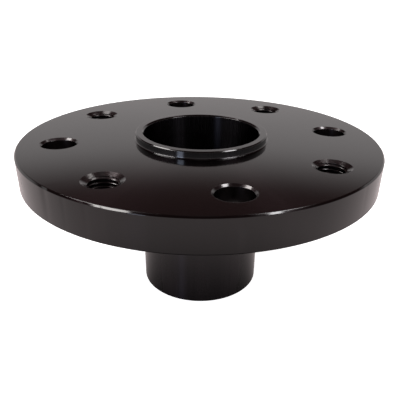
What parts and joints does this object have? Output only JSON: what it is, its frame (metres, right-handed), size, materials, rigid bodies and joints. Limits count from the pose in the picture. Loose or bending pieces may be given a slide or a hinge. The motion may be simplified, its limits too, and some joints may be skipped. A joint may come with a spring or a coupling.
{
  "type": "weld neck flange",
  "caption": "Round black steel flange plate with a raised pilot ring round its bore, alternating clearance and tapped holes on one bolt circle, and a straight tubular neck welded behind.",
  "frame": {"origin": "where the bore axis crosses the flange face, at the foot of the pilot ring", "axes": "+Z along the bore axis, out of the flange face; the neck points down -Z; +X and +Y each pass through a clearance hole, and a tapped hole lies between them"},
  "size_m": [0.2, 0.2, 0.0935],
  "materials": {
    "turned_plate": "fine turned steel with a glossy black oxide finish",
    "neck_steel": "drawn and turned steel tube with a glossy black oxide finish",
    "weld_bead": "rippled weld bead under the same black oxide finish"
  },
  "bodies": {
    "root": {"flange_plate": "turned_plate", "neck_tube": "neck_steel", "neck_weld": "weld_bead"}
  },
  "joints": []
}
